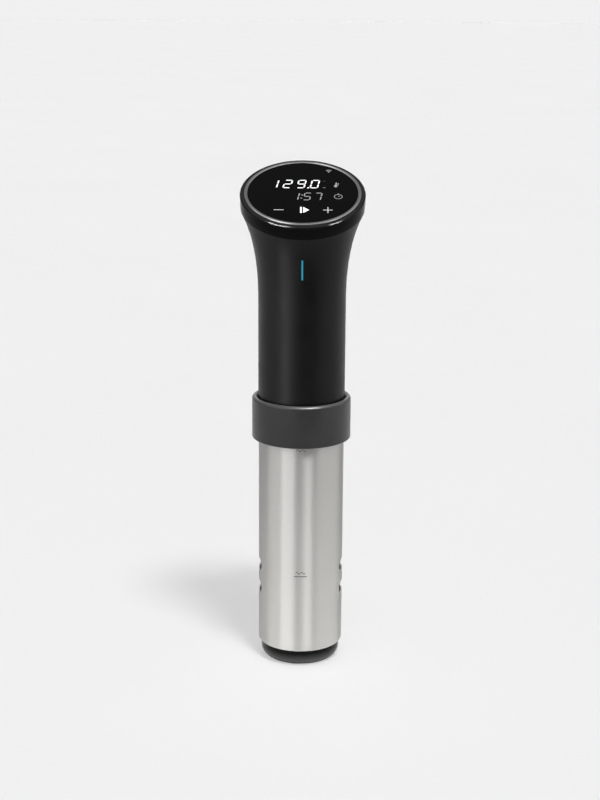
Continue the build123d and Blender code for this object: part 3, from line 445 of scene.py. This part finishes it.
def finishMarks(pieces, name, look, body="housing"):
    whole = joinPieces(pieces, name)
    applyModifier(whole, "SOLIDIFY", thickness=headSettings["thick"], offset=1)
    placeBy(whole, headPlace)
    faceOut(whole, 1e-8)
    return dress(whole, markFinishes[look], body)


# Seven bars to a figure: top, upper right, lower right, bottom, lower left, upper left, middle
figureBars = {
    "0": (1, 1, 1, 1, 1, 1, 0), "1": (0, 1, 1, 0, 0, 0, 0), "2": (1, 1, 0, 1, 1, 0, 1),
    "5": (1, 0, 1, 1, 0, 1, 1), "7": (1, 1, 1, 0, 0, 0, 0), "9": (1, 1, 1, 1, 0, 1, 1),
}


def addFigure(figure, middle, low, row):
    half, tall, lean = row["wide"] / 2, row["tall"], row["lean"]
    gap = row["gap"]

    def spot(side, share):
        height = tall * share
        return (middle + side * half + lean * (height - tall / 2), low + height)

    left, right = -1, 1
    ends = [((left, 1), (right, 1)), ((right, 1), (right, 0.5)), ((right, 0.5), (right, 0)),
            ((left, 0), (right, 0)), ((left, 0.5), (left, 0)), ((left, 1), (left, 0.5)),
            ((left, 0.5), (right, 0.5))]
    bars = []
    for lit, (first, last) in zip(figureBars[figure], ends):
        if lit:
            begin, stop = Vector(spot(*first)), Vector(spot(*last))
            inward = (stop - begin).normalized() * gap
            bars.append(addBar(begin + inward, stop - inward, row["stroke"]))
    return bars


temperatureRow = {
    "figures": (("1", -18.1), ("2", -9.5), ("9", -0.85), ("0", 7.6)), "point": (3.4, 5.4),
    "pointSize": 0.62, "low": 5.3, "tall": 8.8, "wide": 4.5, "lean": 0.17, "stroke": 0.8, "gap": 0.34,
}
timeRow = {
    "figures": (("1", -4.6), ("5", 2.8), ("7", 9.5)), "dots": ((-0.9, -6.6), (-0.35, -2.9)),
    "dotSize": 0.48, "low": -8.6, "tall": 7.9, "wide": 4.0, "lean": 0.17, "stroke": 0.68, "gap": 0.3,
}
temperatureBars = []
for figure, middle in temperatureRow["figures"]:
    temperatureBars += addFigure(figure, middle, temperatureRow["low"], temperatureRow)
temperatureBars.append(addDisc(temperatureRow["point"], temperatureRow["pointSize"], 12))
finishMarks(temperatureBars, "temperature_figures", "bright")
timeBars = []
for figure, middle in timeRow["figures"]:
    timeBars += addFigure(figure, middle, timeRow["low"], timeRow)
for dot in timeRow["dots"]:
    timeBars.append(addDisc(dot, timeRow["dotSize"], 12))
finishMarks(timeBars, "time_figures", "mid")
print("figures drawn")

# Touch marks: minus, start with pause, plus
touchMarks = {
    "height": -20.0, "minus": (-17.9, -11.7), "plus": (12.6, 18.6), "plusMiddle": 15.6, "plusHalf": 3.3,
    "stroke": 0.46, "bar": -1.05, "barWidth": 1.05, "half": 3.3, "arrow": (0.3, 4.0),
    "arrowRound": 0.3,
}
row = touchMarks["height"]
minusAndPlus = [
    addBar((touchMarks["minus"][0], row), (touchMarks["minus"][1], row), touchMarks["stroke"], 0.3, 2),
    addBar((touchMarks["plus"][0], row), (touchMarks["plus"][1], row), touchMarks["stroke"], 0.3, 2),
    addBar((touchMarks["plusMiddle"], row - touchMarks["plusHalf"]),
           (touchMarks["plusMiddle"], row - touchMarks["stroke"] / 2), touchMarks["stroke"], 0.3, 2),
    addBar((touchMarks["plusMiddle"], row + touchMarks["stroke"] / 2),
           (touchMarks["plusMiddle"], row + touchMarks["plusHalf"]), touchMarks["stroke"], 0.3, 2),
]
finishMarks(minusAndPlus, "touch_plus_minus", "clear")
startBar, startHalf = touchMarks["bar"], touchMarks["half"]
startMark = [addBar((startBar, row - startHalf), (startBar, row + startHalf),
                    touchMarks["barWidth"], 0.2, 2)]
arrowFrom, arrowTo = touchMarks["arrow"]
bpy.ops.mesh.primitive_circle_add(vertices=3, radius=1, fill_type="NGON", rotation=(0, 0, -math.pi / 2))
arrow = bpy.context.object
settle(arrow)
# a three cornered disc of radius 1 is 1.5 long and 1.73 high
arrow.scale = ((arrowTo - arrowFrom) / 1.5 * mm, 2 * startHalf / math.sqrt(3) * mm, 1)
arrow.location = ((arrowFrom + (arrowTo - arrowFrom) / 3) * mm, row * mm, 0)
settle(arrow)
editAll(arrow)
bpy.ops.mesh.bevel(offset=touchMarks["arrowRound"] * mm, segments=3, affect="VERTICES")
leaveEdit()
startMark.append(arrow)
finishMarks(startMark, "touch_start", "bright")

# Small signs on the right: unit bars, heat drop, stop watch and radio fan
signs = {
    "units": {"unit_bar_upper": ((12.6, 13.2), (14.4, 13.2), "ghost"),
              "unit_bar_lower": ((12.6, 5.6), (14.4, 5.6), "faint")}, "unitStroke": 0.7,
    "drop": (20.7, 7.5), "dropRadius": 1.05, "dropTip": (21.2, 11.6), "dropStem": 0.8,
    "wisp": ((22.0, 8.3), (22.4, 10.9)), "wispStroke": 0.5,
    "watch": (22.2, -4.7), "watchRadius": 2.5, "watchStroke": 0.36, "watchHand": (23.3, -3.7),
    "crownLength": 0.9, "crownWidth": 0.8,
    "fan": (16.5, 24.1), "fanRadii": (1.3, 2.4), "fanStroke": 0.5, "fanDot": 0.5, "fanSpan": (45, 135),
}
for name, (first, last, look) in signs["units"].items():
    finishMarks([addBar(first, last, signs["unitStroke"], 0.3)], name, look)
dropBars = [addDisc(signs["drop"], signs["dropRadius"], 20, 1.2),
            addBar(signs["drop"], signs["dropTip"], signs["dropStem"], 0.48, 3),
            addBar(*signs["wisp"], signs["wispStroke"], 0.4, 2)]
finishMarks(dropBars, "heat_sign", "mid")
watchBars = addArc(signs["watch"], signs["watchRadius"], signs["watchStroke"], 0, 360, 28)
watchBars.append(addBar(signs["watch"], signs["watchHand"], signs["watchStroke"], 0.3))
watchMiddle, watchTop = signs["watch"][0], signs["watch"][1] + signs["watchRadius"]
watchBars.append(addBar((watchMiddle, watchTop), (watchMiddle, watchTop + signs["crownLength"]),
                        signs["crownWidth"], 0.2))
finishMarks(watchBars, "watch_sign", "mid")
fanBars = [addDisc(signs["fan"], signs["fanDot"], 12)]
for radius in signs["fanRadii"]:
    fanBars += addArc(signs["fan"], radius, signs["fanStroke"], *signs["fanSpan"], 8)
finishMarks(fanBars, "radio_sign", "mid")
print("display signs drawn")


# Level marks printed on the front of the sleeve: a short line, and a ripple as the water sign

levelMarks = {
    "inFront": 33.3, "lineHeight": 63.8, "lineHalf": 4.2, "stroke": 0.55, "ripples": (66.2, 149.3),
    "rippleHalf": 3.2, "rippleRise": 0.62, "waves": 2, "rippleSteps": 48, "thick": 0.00004, "steps": 24,
}


def addRipple(height):
    half, steps = levelMarks["rippleHalf"] * mm, levelMarks["rippleSteps"]
    bpy.ops.mesh.primitive_plane_add(size=1, location=(0, height * mm, 0))
    ripple = bpy.context.object
    ripple.scale = (2 * half, levelMarks["stroke"] * mm, 1)
    settle(ripple)
    editAll(ripple)
    for step in range(1, steps):
        bpy.ops.mesh.select_all(action="SELECT")
        bpy.ops.mesh.bisect(plane_co=(-half + 2 * half * step / steps, 0, 0), plane_no=(1, 0, 0))
    leaveEdit()
    for corner in ripple.data.vertices:
        turn = math.pi * levelMarks["waves"] * (corner.co.x / half + 1)
        corner.co.y += levelMarks["rippleRise"] * mm * math.sin(turn)
    return ripple


def addLevelLine(height):
    half, steps = levelMarks["lineHalf"], levelMarks["steps"]
    edges = [-half + 2 * half * step / steps for step in range(steps + 1)]
    return [addBar((edges[i], height), (edges[i + 1], height), levelMarks["stroke"], 0.0)
            for i in range(steps)]


levelBars = addLevelLine(levelMarks["lineHeight"])
for height in levelMarks["ripples"]:
    levelBars.append(addRipple(height))
levelPrint = joinPieces(levelBars, "level_marks")
inFront = Matrix.Translation((0, -levelMarks["inFront"] * mm, 0))
placeBy(levelPrint, inFront @ Matrix.Rotation(math.pi / 2, 4, "X"))
applyModifier(levelPrint, "SHRINKWRAP", target=frame["nodes"]["sleeve"], wrap_method="PROJECT",
              use_project_y=True, use_positive_direction=True, use_negative_direction=False,
              offset=levelMarks["thick"] / 4)
applyModifier(levelPrint, "SOLIDIFY", thickness=levelMarks["thick"], offset=1)
faceOut(levelPrint, 1e-8)
dress(levelPrint, markFinishes["print"], "skirt")
print("level marks printed")


# Clamp screw with a real thread, standing for the plain rod

threadSettings = {"pitch": 2.0, "root": 2.45, "crest": 2.98, "crestFrom": 0.4, "crestTo": 0.6, "steps": 40,
                  "sharp": math.radians(35)}
rodLow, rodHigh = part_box("clamp_screw")
rodAxis = (rodLow + rodHigh) / 2
rodLength = rodHigh.y - rodLow.y


def addThread(length, look):
    pitch, root, crest = look["pitch"] * mm, look["root"] * mm, look["crest"] * mm
    turns = int(length / pitch) - 1
    crestFrom, crestTo = look["crestFrom"] * pitch, look["crestTo"] * pitch
    spots = [(root, 0.0), (crest, crestFrom), (crest, crestTo), (root, pitch)]
    bpy.ops.mesh.primitive_plane_add(size=pitch, location=(0, 0, 0))
    profile = bpy.context.object
    editAll(profile)
    bpy.ops.mesh.delete(type="ONLY_FACE")
    leaveEdit()
    # the square's loop is opened into a thread profile over one pitch
    corners = sorted(profile.data.vertices, key=lambda v: (round(v.co.y, 6), round(v.co.x, 6)))
    order = [corners[0], corners[2], corners[3], corners[1]]
    for corner, (radius, height) in zip(order, spots):
        corner.co = (radius, 0, height)
    shut = [edge for edge in profile.data.edges if set(edge.vertices) == {order[0].index, order[3].index}]
    for edge in profile.data.edges:
        edge.select = edge in shut
    for corner in profile.data.vertices:
        corner.select = corner.index in (order[0].index, order[3].index)
    bpy.context.tool_settings.mesh_select_mode = (False, True, False)
    bpy.ops.object.mode_set(mode="EDIT")
    bpy.ops.mesh.delete(type="EDGE")
    leaveEdit()
    applyModifier(profile, "SCREW", angle=2 * math.pi, screw_offset=pitch, iterations=turns,
                  steps=look["steps"], render_steps=look["steps"], use_merge_vertices=True,
                  merge_threshold=1e-7)
    faceOut(profile, 1e-7)
    editAll(profile)
    bpy.ops.mesh.select_all(action="DESELECT")
    bpy.ops.mesh.select_non_manifold(extend=False, use_wire=False, use_boundary=True,
                                     use_multi_face=False, use_non_contiguous=False, use_verts=False)
    bpy.ops.mesh.fill()
    leaveEdit()
    faceOut(profile, 1e-7)
    return profile, (turns + 1) * pitch


thread, threadLength = addThread(rodLength, threadSettings)
liePlace = Matrix.Translation((rodAxis.x, rodAxis.y - threadLength / 2, rodAxis.z))
placeBy(thread, liePlace @ Matrix.Rotation(-math.pi / 2, 4, "X"))
pickOnly(thread)
bpy.ops.object.shade_smooth_by_angle(angle=threadSettings["sharp"])
thread.name = "clamp_thread"
dress(thread, finishes["screw_steel"], "screw")
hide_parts("clamp_screw")
print("clamp thread cut")


# Ribbed rubber face on the fixed jaw

jawSettings = {"ribs": 9, "groove": 0.9, "soften": 0.15, "sharp": math.radians(40)}
jawLow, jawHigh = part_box("jaw_pad")


def addRibbedPad(low, high, look):
    size, middle = high - low, (high + low) / 2
    bpy.ops.mesh.primitive_cube_add(size=1, location=middle)
    pad = bpy.context.object
    pad.scale = size
    settle(pad)
    editAll(pad)
    for step in range(1, 2 * look["ribs"]):
        bpy.ops.mesh.select_all(action="SELECT")
        height = low.z + size.z * step / (2 * look["ribs"])
        bpy.ops.mesh.bisect(plane_co=(0, 0, height), plane_no=(0, 0, 1))
    leaveEdit()
    band = size.z / (2 * look["ribs"])
    editFaces(pad, lambda face: face.normal.y > 0.9 and int((face.center.z - low.z) / band) % 2 == 1)
    bpy.ops.mesh.extrude_region_move(TRANSFORM_OT_translate={"value": (0, -look["groove"] * mm, 0)})
    leaveEdit()
    applyModifier(pad, "BEVEL", width=look["soften"] * mm, segments=2, limit_method="ANGLE",
                  angle_limit=look["sharp"])
    faceOut(pad, 1e-7)
    return pad


jawFace = addRibbedPad(jawLow, jawHigh, jawSettings)
jawFace.name = "jaw_ribs"
dress(jawFace, finishes["seal_rubber"], "clamp")
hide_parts("jaw_pad")
print("jaw ribs moulded")


# Floor, light and camera

floorSettings = {"half": 45.0, "colour": (0.8, 0.8, 0.8), "fine": (0.79, 0.79, 0.79)}
bpy.ops.mesh.primitive_plane_add(size=2 * floorSettings["half"], location=(0, 0, 0))
floor = bpy.context.object
floor.name = "studio_floor"
floor.data.materials.append(mouldedFinish("paleFloor", {
    "dark": floorSettings["fine"], "light": floorSettings["colour"], "cloud": 3, "grain": 60,
    "rough": (0.85, 0.95), "depth": 0.0, "gloss": 0.0}))

# a pale wall far behind, seen by the camera alone
backdropSettings = {"radius": 14.0, "high": 24.0, "dim": (0.866, 0.866, 0.866),
                    "bright": (0.874, 0.874, 0.874)}
bpy.ops.mesh.primitive_cylinder_add(vertices=96, radius=backdropSettings["radius"], end_fill_type="NOTHING",
                                    depth=backdropSettings["high"], location=(0, 0, 0))
backdrop = bpy.context.object
backdrop.name = "studio_backdrop"
backdrop.data.materials.append(litFinish("backdropPale", {
    "dim": backdropSettings["dim"], "bright": backdropSettings["bright"], "body": (0, 0, 0), "cloud": 0.05,
    "power": 1.0}))
backdrop.visible_diffuse = False
backdrop.visible_glossy = False
backdrop.visible_shadow = False

world = bpy.data.worlds.new("studio")
bpy.context.scene.world = world
world.use_nodes = True
skyTree = world.node_tree
skySettings = {"horizon": (0.32, 0.32, 0.32), "zenith": (0.28, 0.28, 0.283), "power": 1.0}
skyPlace = addNode(skyTree, "ShaderNodeTexCoord")
skyParts = addNode(skyTree, "ShaderNodeSeparateXYZ", {"Vector": skyPlace.outputs["Generated"]})
skyMix = mixColours(skyTree, spread(skyTree, skyParts.outputs["Z"], 0, 1, 0.0, 0.75),
                    skySettings["horizon"], skySettings["zenith"])
skyTree.links.new(skyMix, skyTree.nodes["Background"].inputs["Color"])
skyTree.nodes["Background"].inputs["Strength"].default_value = skySettings["power"]
world.cycles_visibility.diffuse = False


def aim(lamp, place, target):
    lamp.location = place
    lamp.rotation_euler = (Vector(target) - Vector(place)).to_track_quat("-Z", "Y").to_euler()


def addSun(name, look):
    bpy.ops.object.light_add(type="SUN")
    lamp = bpy.context.object
    lamp.name = name
    lamp.data.energy = look["power"]
    lamp.data.angle = math.radians(look["soft"])
    aim(lamp, look["from"], (0, 0, 0))
    lamp.visible_glossy = look["glossy"]
    lamp.data.use_shadow = look["shadow"]


def addStrip(name, look):
    turn = math.radians(look["azimuth"])
    place = Vector((math.sin(turn), -math.cos(turn), 0)) * look["away"]
    place.z = look["middle"] + look.get("high", 0)
    bpy.ops.object.light_add(type="AREA")
    lamp = bpy.context.object
    lamp.name = name
    lamp.data.shape = "RECTANGLE"
    lamp.data.size = look["wide"]
    lamp.data.size_y = look["tall"]
    lamp.data.energy = look["power"]
    aim(lamp, place, (0, 0, look["middle"]))
    lamp.visible_diffuse = False
    lamp.visible_camera = False
    if look.get("only"):
        lit = bpy.data.collections.new(name + "Pieces")
        lit.objects.link(frame["nodes"][look["only"]])
        lamp.light_linking.receiver_collection = lit


lights = {
    "overhead": {"power": 2.53, "soft": 40, "from": (0, 0, 5), "glossy": False, "shadow": False},
    "key": {"power": 0.99, "soft": 12, "from": (0.986, -1.778, 4.568), "glossy": False, "shadow": True},
}
# strips show in reflections alone, and some of them on one piece only
strips = {
    "leftStrip": {"azimuth": -35, "away": 1.3, "middle": 0.9, "wide": 0.82, "tall": 1.5, "power": 7.8},
    "leftWall": {"azimuth": -70, "away": 1.2, "middle": 0.8, "wide": 1.2, "tall": 1.6, "power": 4.5},
    "topStrip": {"azimuth": 28, "away": 0.85, "middle": 0.15, "high": 1.4, "wide": 0.42, "tall": 0.5,
                 "power": 11.5},
    "rightWall": {"azimuth": 82, "away": 1.8, "middle": 0.9, "wide": 2.9, "tall": 1.8, "power": 10.7},
    "glintLeft": {"azimuth": -38, "away": 1.0, "middle": 0.3, "high": 0.58, "wide": 0.6, "tall": 1.0,
                  "power": 300, "only": "head_cap"},
    "glintRight": {"azimuth": 52, "away": 1.0, "middle": 0.3, "high": 0.58, "wide": 0.35, "tall": 1.0,
                   "power": 130, "only": "head_cap"},
    "handleGlow": {"azimuth": -42, "away": 0.35, "middle": 0.13, "wide": 0.12, "tall": 0.3, "power": 0.4,
                   "only": "handle_shell"},
    "collarGlow": {"azimuth": 32, "away": 0.8, "middle": 0.17, "high": 1.4, "wide": 0.5, "tall": 0.8,
                   "power": 110, "only": "clamp_ring"},
    "backWall": {"azimuth": 180, "away": 1.5, "middle": 0.5, "wide": 1.2, "tall": 1.0, "power": 3.0},
    "frontFill": {"azimuth": 3, "away": 0.8, "middle": 0.1, "high": 1.0, "wide": 0.45, "tall": 0.5,
                  "power": 2.2},
}

# a dark card in front, seen only in reflections
cardSettings = {"left": -0.065, "right": 0.27, "low": 0.1, "high": 0.9, "away": 0.3}
bpy.ops.mesh.primitive_plane_add(
    size=1, rotation=(math.pi / 2, 0, 0),
    location=((cardSettings["left"] + cardSettings["right"]) / 2, -cardSettings["away"],
              (cardSettings["low"] + cardSettings["high"]) / 2))
card = bpy.context.object
card.name = "studio_card"
card.scale = (cardSettings["right"] - cardSettings["left"], cardSettings["high"] - cardSettings["low"], 1)
settle(card)
card.data.materials.append(litFinish("cardGrey", {
    "dim": (0.9, 0.9, 0.9), "bright": (1, 1, 1), "body": (0.01, 0.01, 0.01), "cloud": 4, "power": 0.15}))
card.visible_camera = False
card.visible_diffuse = False
card.visible_shadow = False

for name, look in lights.items():
    addSun(name, look)
for name, look in strips.items():
    addStrip(name, look)

cameraSettings = {"place": (0, -1.0070, 0.4449), "down": 14.982, "roll": 0.364, "lens": 72.24,
                  "slide": -1.45 / 800}
bpy.ops.object.camera_add()
camera = bpy.context.object
camera.matrix_world = (Matrix.Translation(cameraSettings["place"])
                       @ Matrix.Rotation(math.radians(90 - cameraSettings["down"]), 4, "X")
                       @ Matrix.Rotation(math.radians(cameraSettings["roll"]), 4, "Z"))
camera.data.sensor_fit = "AUTO"
camera.data.sensor_width = 36
camera.data.lens = cameraSettings["lens"]
camera.data.shift_x = cameraSettings["slide"]
camera.data.clip_end = 200
bpy.context.scene.camera = camera
bpy.context.scene.view_settings.view_transform = "Standard"
clearSelection()
print("floor, light and camera set")
